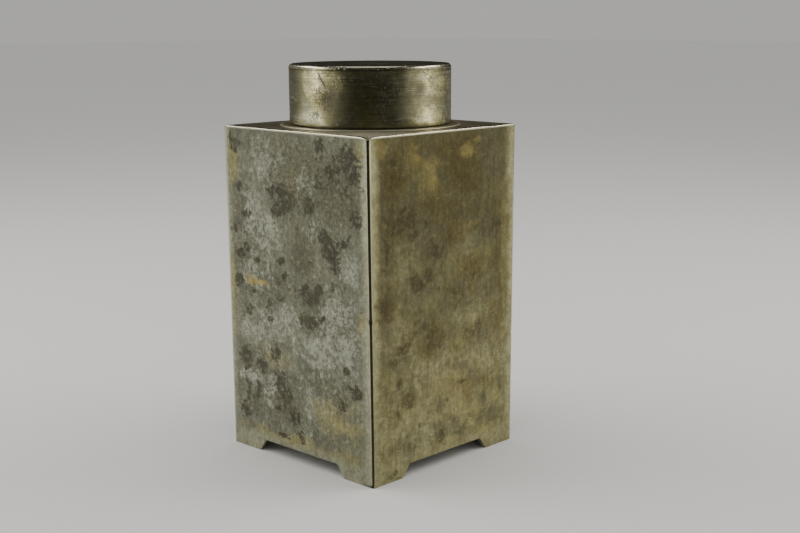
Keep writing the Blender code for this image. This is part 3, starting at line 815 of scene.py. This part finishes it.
def body_metal():
    """Aged pewter of the body: brushed silver under patches, frost, stains and worn edges; the rounded
    edges and the ring's rim are lightened partly as painted highlight.
    """
    paint = Paint("aged_pewter")
    mm, mix, step, noise = paint.tools()
    half = HALF / MM
    top = SHOULDER / MM
    width_x = abs(paint.x)
    width_y = abs(paint.y)
    outer = paint.larger(width_x, width_y)
    edge = half - paint.math("MINIMUM", width_x, width_y)
    shoulder = step(paint.z, top - 0.7, top - 0.2)
    wall = 1 - shoulder
    left = step(paint.x, 0.8 - half, 0.4 - half) * wall
    right = step(paint.y, 0.8 - half, 0.4 - half) * wall
    other = (wall - paint.larger(left, right)).clamped()

    # Where a place lies on the left and the right face, pushed about so that patches are ragged
    torn_x, torn_y, torn_z = paint.parts(paint.wander(mm, 0.3, 2.6, 6))
    left_place = paint.point(torn_y + half, torn_z)
    right_place = paint.point(torn_x + half, torn_z)

    def on_left(spots, clouds, *levels):
        return paint.patches(left_place, spots, clouds, *levels) * left

    def on_right(spots, clouds, *levels):
        return paint.patches(right_place, spots, clouds, *levels) * right

    broad = noise(mm, 0.045, 3, 0.5, shift=3)
    cloud = noise(mm, 0.11, 9, 0.62, distortion=0.5, shift=11)
    torn_noise = noise(mm, 0.19, 10, 0.7, distortion=0.7, shift=23)
    frost_noise = noise(mm, 0.22, 10, 0.72, distortion=0.9, shift=37)
    flecks = noise(mm, 0.75, 6, 0.74, shift=29)
    pepper = noise(mm, 0.95, 5, 0.66, distortion=0.4, shift=43)
    speckle = noise(mm, 2.3, 3, 0.65, shift=5)
    streak = noise(mm, 4.5, 3, 0.6, stretch=(1, 1, 0.05), shift=2)
    smear = noise(mm, 0.8, 4, 0.6, stretch=(1, 1, 0.14), shift=7)

    # Base tone: silver on the left face, olive on the right, a mixture on the other two
    olive_share = (step(broad, 0.4, 0.62, 0.25, 0.95) + right * 0.75 - left * 0.8).clamped()
    color = mix(olive_share, SILVER, OLIVE)
    color = mix(step(cloud, 0.56, 0.4, 0, 0.45), color, DUSK)

    # Straw, brown and dusky tints, in soft clouds
    straw = paint.larger(on_left(LEFT_STRAW, cloud, 0.8, 0, 0.7), on_right(RIGHT_STRAW, cloud, 0.8, 0, 0.7))
    straw = paint.larger(straw, step(cloud, 0.54, 0.66, 0, 0.6) * other)
    color = mix(straw * 0.85, color, STRAW)
    color = mix(on_right(RIGHT_PALE, torn_noise, 0.8, -0.2, 0.8) * 0.85, color, PALE_OLIVE)
    brown = paint.larger(on_right(RIGHT_BROWN, cloud, 0.9, -0.25, 0.8), step(cloud, 0.46, 0.34) * other)
    color = mix(brown * 0.78, color, BROWN)
    gold = on_right(RIGHT_GOLD, cloud, 1, 0, 0.8)
    color = mix(gold * 0.75, color, GOLD)
    color = mix(on_left(LEFT_DUSK, torn_noise, 0.9, 0, 0.6) * 0.8, color, DUSK)

    # Frosty light patches, broken up by flecks
    elsewhere = step(frost_noise, 0.5, 0.58) * step(broad, 0.42, 0.58) * other * 0.8
    frost = paint.larger(on_left(LEFT_FROST, frost_noise, 1.25, 0, 0.5), elsewhere)
    flecked = step(flecks, 0.53, 0.66, 0, 0.55) * (wall - right)
    flecked *= step(torn_noise, 0.44, 0.56, 0.25, 1)
    frost = paint.larger(frost, flecked)
    frost *= step(flecks, 0.4, 0.54, 0.45, 1)
    color = mix(frost * 0.86, color, FROST)
    color = mix(step(flecks, 0.6, 0.68, 0, 0.5) * right, color, PALE_OLIVE)

    # Dark patches with ragged edges
    right_dark = on_right(RIGHT_DARK, torn_noise, 1.1, -0.05, 0.36) * 0.8
    dark = paint.larger(on_left(LEFT_DARK, torn_noise, 1.45, 0.02, 0.38), right_dark)
    stray = step(torn_noise, 0.42, 0.38) * step(cloud, 0.54, 0.46) * other * 0.9
    dark = paint.larger(dark, stray)
    dark *= step(flecks, 0.62, 0.5, 0.5, 1)
    color = mix(dark * 0.97, color, mix(right, DARK, DARK_BROWN))
    color = mix(on_left(LEFT_SPECKS, pepper, 3, 0.55, 0.95) * 0.62, color, SPECK)
    color = mix(on_left(LEFT_OCHRE, torn_noise, 0.8, 0.05, 0.7) * 0.8, color, OCHRE)

    # Large-scale shading, then the handled edges, worn lighter beside the corners and above the feet
    lower = step(paint.z, 100, 0)
    shade = step(torn_noise, 0.38, 0.62, 0.84, 1.14) * step(lower, 0, 1, 0.88, 1.08)
    shade *= step(right, 0, 1, 1, step(lower, 0, 0.9, 0.78, 1.08))
    color = paint.scaled(color, shade)
    wavering = (cloud - 0.5) * 5 + (smear - 0.5) * 2.4
    worn_reach = step(paint.x + paint.y, -half, half, 3.9, 4.5) - left * step(paint.y, 0, half, 0, 1.5)
    edge_worn = step(edge + wavering - worn_reach, 0.5, -3, 0, 0.92)
    foot_worn = step(paint.z + wavering, 7.2, 4.6, 0, 0.7)
    worn = paint.larger(edge_worn, foot_worn) * wall * (1 - dark * 0.8)
    worn *= step(torn_noise, 0.4, 0.54, 0.62, 1)
    tinted = paint.larger(gold, straw * 0.5)
    worn *= 1 - tinted * 0.7
    color = mix(worn, color, mix(right * 0.9, WORN_LEFT, WORN_RIGHT))

    # Fine speckle and brushing
    grain = step(speckle, 0.3, 0.7, 0.85, 1.13) * step(streak, 0.3, 0.7, 0.93, 1.07)
    grain = grain * step(smear, 0.36, 0.64, 0.9, 1.09) * step(flecks, 0.38, 0.62, 0.84, 1.14)
    color = paint.scaled(color, grain)
    # The rounded edges are worn light and partly lightened as a painted highlight
    rounding = step(edge, 0.95, 0.45, 0, 0.95)
    shoulder_edge = step(outer, half - 0.6, half - 0.25) * step(paint.z, top - 0.7, top - 0.35)
    rounding = paint.larger(rounding * wall, shoulder_edge)
    color = mix(rounding, color, mix(right, WORN_AND_HIGHLIGHT, ROUNDED_RIGHT))

    # The shoulder is dustier, with grime against the ring
    on_top = shoulder * step(outer, half - 0.3, half - 1)
    shoulder_tone = mix(step(cloud, 0.34, 0.66), DUST_BROWN, DUST_GREY)
    shoulder_tone = mix(step(flecks, 0.5, 0.66, 0, 0.45), shoulder_tone, DUST_PALE)
    shoulder_tone = mix(step(torn_noise, 0.44, 0.34, 0, 0.5), shoulder_tone, DUST_DARK)
    near_corner = step(paint.vector("DISTANCE", mm, (-half, -half, top)), 26, 9)
    shoulder_tone = mix(near_corner * 0.8, shoulder_tone, CORNER_BRIGHT)
    color = mix(on_top * 0.9, color, shoulder_tone)
    spread = paint.from_axis()
    flange = FLANGE_RADIUS / MM
    ring_grime = step(abs(spread - (flange + 0.1)), 0.4, 0, 0, 0.4) * shoulder
    ring_grime *= step(paint.z, top + 0.2, top + 0.05)
    # The ring's top rim is lightened: partly clean worn metal, partly a painted highlight
    flange_rim = step(paint.z, top + 0.12, top + 0.28) * step(spread, flange - 1.3, flange - 0.3, 0, 0.8)
    color = mix(flange_rim, color, WORN_AND_HIGHLIGHT)
    color = mix(ring_grime, color, GRIME)

    roughness = step(torn_noise, 0.36, 0.64, 0.36, 0.46) + frost * 0.08 + dark * 0.05
    roughness = roughness - worn * 0.06 - rounding * 0.17 + on_top * 0.1 + on_top * near_corner * 0.06
    roughness = (roughness + step(streak, 0.3, 0.7, -0.03, 0.03)).clamped()
    # The oxide film under the worn places is only partly metallic
    film = wall * (1 - rounding) * (1 - worn * 0.5)
    paint.feed(paint.shader.inputs["Metallic"], 1 - film * (dark * 0.1 + 0.22))
    height = streak * 0.2 + speckle * 0.25 + flecks * 0.9 - dark * 0.3
    return paint.finish(color, roughness, height, BODY_RELIEF)


# Zones on the lid's band: degrees round from its near side, height, half width (degrees), half height,
# strength
# Bright zones stand where the lamps' highlights fall on the band: partly polished metal, partly painted
# highlight
LID_BRIGHT = (
    (-42.5, 113.4, 10, 4.6, 1.3), (-52, 103.2, 24, 2.2, 0.9), (47, 115, 14, 1.8, 0.6),
    (48, 103.2, 14, 2.6, 0.7), (160, 110, 22, 4, 0.8), (-120, 106, 18, 3, 0.8), (105, 112, 16, 3, 0.8),
)
LID_DULL = (
    (37, 111.5, 6, 3.4, 1), (52, 108.6, 12, 1.6, 0.6), (-28, 108, 9, 7, 1), (-74, 111, 24, 12, 1.8),
    (15, 106, 14, 5, 0.6), (130, 106, 16, 4, 0.9), (-150, 112, 20, 4, 0.9),
)
# Warm zones, mostly where the highlights fall: partly a golden tint, partly painted highlight
LID_GOLD = (
    (-43, 113, 10, 4.4, 1.3), (-26, 114.6, 10, 2.2, 0.7), (50, 103.6, 15, 3.4, 1.2),
    (56, 113, 16, 5, 0.8), (-150, 108, 24, 5, 0.6),
)
LID_PITS = (
    (-31, 109.2, 9, 3.6, 1), (-36, 111.2, 5, 2, 0.9), (-39, 104.4, 6, 1.3, 0.9),
    (-24, 113.4, 10, 2.6, 0.5), (43, 115.6, 6, 0.7, 0.25), (-140, 105, 12, 3, 0.9), (95, 107, 10, 4, 0.9),
)
NEAR_SIDE = CAMERA_TURN + math.pi
# The ends of the scratch: direction around the axis (degrees) and height (mm)
LID_SCRATCH = ((187.5, 116.7), (194, 112.3))


def lid_metal():
    """The lid's turned pewter: fine lines around it, smudges, pits and a scratch."""
    paint = Paint("turned_pewter")
    mm, mix, step, noise = paint.tools()
    ring = LID_RADIUS / MM
    top = LID_TOP / MM
    radius = paint.from_axis()
    on_top = step(paint.z, top - 0.6, top - 0.2) * step(radius, ring - 0.4, ring - 1.2)
    on_band = 1 - on_top
    cloud = noise(mm, 0.13, 7, 0.62, shift=31)
    mottle = noise(mm, 0.45, 8, 0.7, shift=37)
    speckle = noise(mm, 2.6, 3, 0.6, shift=41)
    lines = noise(mm, 1, 3, 0.65, stretch=(0.035, 0.035, 3.2), shift=43)
    fine_lines = noise(mm, 1, 2, 0.6, stretch=(0.05, 0.05, 11), shift=47)
    rings = noise(paint.point(radius, 0), 2.6, 3, 0.6, shift=53)
    smear = noise(mm, 1, 5, 0.62, stretch=(0.12, 0.12, 0.42), shift=59)

    # Degrees round from the near side, pushed about a little so that the zones are ragged
    torn_x, torn_y, torn_z = paint.parts(paint.wander(mm, 0.35, 2.4, 5))
    near_x, near_y = math.sin(NEAR_SIDE), math.cos(NEAR_SIDE)
    ahead = torn_x * near_x + torn_y * near_y
    aside = torn_y * near_x - torn_x * near_y
    place_on_band = paint.point(paint.math("DEGREES", paint.math("ARCTAN2", aside, ahead)), torn_z)

    color = mix(step(cloud, 0.44, 0.56), LID_PALE, LID_WARM)
    # Painted highlight, partly polished metal, in the bright zones
    bright = paint.patches(place_on_band, LID_BRIGHT, mottle, 0.9, -0.1, 0.8)
    color = mix(bright * 0.9, color, LID_SHINE)
    # Golden tint that is partly a painted highlight
    gold = paint.patches(place_on_band, LID_GOLD, mottle, 1.2, -0.2, 0.6)
    color = mix(gold * 0.8, color, LID_GOLD_TINT_AND_SHEEN)
    dull = paint.patches(place_on_band, LID_DULL, mottle, 0.9, -0.1, 0.8)
    color = mix(dull * 0.8, color, LID_FILM)
    color = mix(step(smear, 0.54, 0.64, 0, 0.35), color, LID_SMUDGE)
    color = mix(step(smear, 0.46, 0.38, 0, 0.5), color, LID_RUBBED)
    shade = step(lines, 0.36, 0.64, 0.82, 1.12) * step(speckle, 0.34, 0.66, 0.88, 1.08)
    color = paint.scaled(color, shade * step(mottle, 0.38, 0.62, 0.86, 1.12))

    # Small dark pits
    pits = noise(mm, 2.3, 5, 0.78, shift=61)
    pitted = paint.patches(place_on_band, LID_PITS, pits, 3, 0.35, 0.65) * on_band
    color = mix(pitted * 0.68, color, DARK)

    # The scratch slants down from under the rim
    ends = []
    for degrees, height in LID_SCRATCH:
        angle = math.radians(degrees)
        ends.append(Vector((ring * math.cos(angle), ring * math.sin(angle), height)))
    scratch = paint.stroke(mm, *ends, 0.42)
    color = mix(scratch * 0.85, color, DARK)

    # The rounded rim is worn bright and partly carries a painted highlight; the fine groove below it is
    # dirty, and the lid's lower edge is painted dark as shadow.
    groove = (lid_top_low.z - 0.02 * MM) / MM
    rim_wear_and_highlight = step(paint.z, groove + 0.25, groove + 0.6, 0, 0.75) * on_band
    color = mix(rim_wear_and_highlight, color, RIM_WEAR_AND_HIGHLIGHT)
    # The top disc is toned darker: partly patina, partly a painted dark reflection
    top_tone = mix(step(cloud, 0.34, 0.66), TOP_DUSK, TOP_GREY)
    top_tone = mix(step(mottle, 0.44, 0.32, 0, 0.6), top_tone, TOP_DARK)
    top_tone = mix(step(mottle, 0.54, 0.68, 0, 0.5), top_tone, TOP_PALE)
    turned_shade = step(rings, 0.34, 0.66, 0.84, 1.1) * step(speckle, 0.34, 0.66, 0.86, 1.08)
    color = mix(on_top * 0.92, color, paint.scaled(top_tone, turned_shade))
    inside = step(radius, ring - 0.5, ring - 1) * step(paint.z, top - 1.3, top - 1.6)
    color = mix(inside * 0.7, color, SILVER)
    color = mix(step(abs(paint.z - groove), 0.22, 0.04, 0, 0.6), color, GRIME)
    # Painted shadow: the lid's lower edge darkened where it sits on the ring
    mouth = LID_BOTTOM / MM
    color = mix(step(paint.z, mouth + 1.2, mouth + 0.1, 0, 0.5), color, DARK)

    roughness = step(smear, 0.3, 0.7, 0.26, 0.36) - bright * 0.05 + dull * 0.06
    roughness += step(lines, 0.3, 0.7, -0.03, 0.04)
    roughness = roughness + pitted * 0.15 - on_top * 0.05 - rim_wear_and_highlight * 0.1
    height = (lines * 0.6 + fine_lines * 0.25) * on_band + rings * 0.7 * on_top
    height = height + mottle * 0.5 + speckle * 0.25 - pitted * 1.2 - scratch * 1.5
    return paint.finish(color, roughness, height, LID_RELIEF)


def inner_metal():
    """Duller, less handled pewter of the neck, the inner lid and the floor, touched with tea stains."""
    paint = Paint("inner_pewter_grey")
    mm, mix, step, noise = paint.tools()
    cloud = noise(mm, 0.2, 5, 0.6, shift=71)
    mottle = noise(mm, 0.7, 6, 0.66, shift=73)
    speckle = noise(mm, 2.8, 3, 0.6, shift=79)
    lines = noise(mm, 1, 3, 0.65, stretch=(0.04, 0.04, 4), shift=83)
    rings = noise(paint.point(paint.from_axis(), 0), 3.2, 3, 0.6, shift=89)
    color = mix(step(cloud, 0.4, 0.62), INNER_GREY, INNER_WARM)
    stain = step(cloud, 0.56, 0.68) * step(mottle, 0.42, 0.6)
    color = mix(stain * 0.6, color, BROWN)
    color = mix(step(mottle, 0.44, 0.34) * 0.5, color, DARK)
    shade = step(speckle, 0.3, 0.7, 0.86, 1.1) * step(lines, 0.3, 0.7, 0.9, 1.08)
    color = paint.scaled(color, shade * step(rings, 0.3, 0.7, 0.93, 1.05))
    floor_level = floor_high.z / MM
    below = step(paint.z, floor_level + 0.6, floor_level + 0.2)
    color = mix(below * step(cloud, 0.3, 0.6, 0.25, 0.7), color, FLOOR_DARK)
    roughness = step(mottle, 0.3, 0.7, 0.36, 0.46) + stain * 0.08 + below * 0.1
    height = lines * 0.4 + rings * 0.4 + mottle * 0.7 + speckle * 0.3
    return paint.finish(color, roughness, height, LID_RELIEF)


def solder_metal():
    """Soft solder along the inside seams: grey, a little lumpy, with dark flux stains."""
    paint = Paint("soft_solder")
    mm, mix, step, noise = paint.tools()
    lumps = noise(mm, 0.8, 4, 0.55, shift=97)
    speckle = noise(mm, 3, 3, 0.6, shift=101)
    color = mix(step(lumps, 0.4, 0.62), SOLDER_GREY, SOLDER_DULL)
    flux = step(noise(mm, 0.5, 5, 0.65, shift=103), 0.56, 0.66, 0, 0.6)
    color = mix(flux, color, BROWN)
    color = paint.scaled(color, step(speckle, 0.3, 0.7, 0.86, 1.1))
    roughness = step(lumps, 0.3, 0.7, 0.34, 0.46) + flux * 0.1
    height = lumps * 2 + speckle * 0.3
    return paint.finish(color, roughness, height, SOLDER_RELIEF)


# ---- Floor, lights and camera ----

FLOOR_TONE = (0.74, 0.735, 0.72)
ROOM_TONE = (0.62, 0.616, 0.603)
ROOM_IN_METAL = (0.028, 0.027, 0.022)
ROOM_SEEN = (0.462, 0.456, 0.437)


def camera_directions():
    """The camera's right, up and forward directions."""
    flat = Vector((math.sin(CAMERA_TURN), math.cos(CAMERA_TURN), 0.0))
    forward = flat * math.cos(CAMERA_PITCH) - Vector((0.0, 0.0, math.sin(CAMERA_PITCH)))
    right = forward.cross(Vector((0.0, 0.0, 1.0))).normalized()
    up = right.cross(forward)
    rolled_right = right * math.cos(CAMERA_ROLL) + up * math.sin(CAMERA_ROLL)
    return rolled_right, rolled_right.cross(forward), forward


def add_camera():
    right, up, forward = camera_directions()
    place_at = (Vector(CAMERA_TARGET) - forward * CAMERA_DISTANCE) * BODY_WIDTH
    data = bpy.data.cameras.new("camera")
    data.lens = CAMERA_LENS
    data.sensor_width = SENSOR_WIDTH
    data.clip_start = 0.01
    data.dof.use_dof = False
    camera = bpy.data.objects.new("camera", data)
    turn = Matrix((right, up, -forward)).transposed()
    camera.matrix_world = Matrix.Translation(place_at) @ turn.to_4x4()
    bpy.context.scene.collection.objects.link(camera)
    bpy.context.scene.camera = camera


# The lights: name, metres aside (to the camera's right), up and beyond the caddy, the height they face,
# width, height, radiance and colour. A large panel on each side carries a narrow brighter core,
# a strip stands over each, and one panel hangs above.
LIGHTS = (
    ("left_panel", -0.46, 0.20, -0.07, 0.144, 0.46, 0.38, 0.34, (1.0, 0.985, 0.94)),
    ("right_panel", 0.46, 0.20, -0.03, 0.144, 0.46, 0.38, 0.31, (1.0, 0.975, 0.90)),
    ("left_core", -0.45, 0.20, -0.125, 0.144, 0.13, 0.38, 1.50, (1.0, 0.985, 0.88)),
    ("right_core", 0.45, 0.20, -0.03, 0.144, 0.13, 0.38, 0.74, (1.0, 0.975, 0.86)),
    ("left_strip", -0.50, 0.48, 0.12, 0.06, 0.50, 0.11, 8.6, (1.0, 0.985, 0.95)),
    ("right_strip", 0.50, 0.48, 0.12, 0.06, 0.50, 0.11, 7.9, (1.0, 0.97, 0.90)),
    ("top_panel", 0.0, 0.95, -0.05, 0.0, 0.70, 0.70, 0.8, (1.0, 0.99, 0.97)),
)


def add_lights():
    """Flat soft lights of an even brightness, each facing the caddy."""
    ahead = Vector((math.sin(CAMERA_TURN), math.cos(CAMERA_TURN), 0.0))
    side = Vector((ahead.y, -ahead.x, 0.0))
    for name, aside, up, beyond, aim, width, height, radiance, color in LIGHTS:
        data = bpy.data.lights.new(name, "AREA")
        data.shape = "RECTANGLE"
        data.size = width
        data.size_y = height
        data.color = color
        data.energy = radiance * math.pi * width * height
        light = bpy.data.objects.new(name, data)
        light.location = side * aside + ahead * beyond + Vector((0.0, 0.0, up))
        way = Vector((0.0, 0.0, aim)) - light.location
        light.rotation_euler = way.to_track_quat("-Z", "Y").to_euler()
        bpy.context.scene.collection.objects.link(light)


def add_floor():
    """A pale plain floor. Metal sees it darker towards the camera, as if a dark card lay there."""
    reach = 6.0
    mesh = bpy.data.meshes.new("stage_floor")
    corners = [(-reach, -reach, 0), (reach, -reach, 0), (reach, reach, 0), (-reach, reach, 0)]
    mesh.from_pydata(corners, [], [(0, 1, 2, 3)])
    ground = bpy.data.objects.new("stage_floor", mesh)
    bpy.context.scene.collection.objects.link(ground)
    paint = Paint("stage_paper", metallic=0.0)
    paint.shader.inputs["Roughness"].default_value = 0.9
    paint.shader.inputs["Specular IOR Level"].default_value = 0.1
    sine, cosine = math.sin(CAMERA_TURN), math.cos(CAMERA_TURN)
    towards = paint.x * -sine + paint.y * -cosine
    across = paint.x * cosine + paint.y * -sine
    in_front = abs(towards) - HALF / MM * math.sqrt(2.0)
    side_share = abs(across) / paint.larger(in_front, 1.0)
    behind = paint.step(towards, 0.0, -100.0, 0.05, 0.45, kind="LINEAR")
    seen = paint.step(side_share, 0.9, 2.6, behind, 0.86)
    glossy = paint.add("ShaderNodeLightPath").outputs["Is Glossy Ray"]
    tone = paint.mix(glossy, FLOOR_TONE, paint.scaled(FLOOR_TONE, seen))
    paint.feed(paint.shader.inputs["Base Color"], tone)
    mesh.materials.append(paint.material)


def add_surroundings():
    """A pale room for the eye and the floor, a dim one in the metal."""
    world = bpy.data.worlds.new("room")
    world.use_nodes = True
    tree = world.node_tree
    rays = tree.nodes.new("ShaderNodeLightPath").outputs
    picks = []
    for ray, tone in (("Is Glossy Ray", ROOM_IN_METAL), ("Is Camera Ray", ROOM_SEEN)):
        pick = tree.nodes.new("ShaderNodeMix")
        pick.data_type = "RGBA"
        tree.links.new(rays[ray], pick.inputs["Factor"])
        pick.inputs["B"].default_value = (*tone, 1.0)
        picks.append(pick)
    in_metal, to_the_eye = picks
    in_metal.inputs["A"].default_value = (*ROOM_TONE, 1.0)
    tree.links.new(in_metal.outputs["Result"], to_the_eye.inputs["A"])
    tree.links.new(to_the_eye.outputs["Result"], tree.nodes["Background"].inputs["Color"])
    bpy.context.scene.world = world


# ---- Put it together ----

body_material = body_metal()
lid_material = lid_metal()
inner_material = inner_metal()
solder_material = solder_metal()

make_body_shell(body_material)
make_flange(body_material)
make_floor(inner_material)
make_neck(inner_material)
make_lid_band(lid_material)
make_lid_top(lid_material)
make_inner_lid(inner_material)

SEAMS = ("floor_seam", "shoulder_seam", "neck_seam", "lid_seam")
SEAMS += tuple(f"corner_seam_{number}" for number in (1, 2, 3, 4))
for seam in SEAMS:
    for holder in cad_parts[seam].material_slots:
        holder.material = solder_material

add_floor()
add_surroundings()
add_lights()
add_camera()
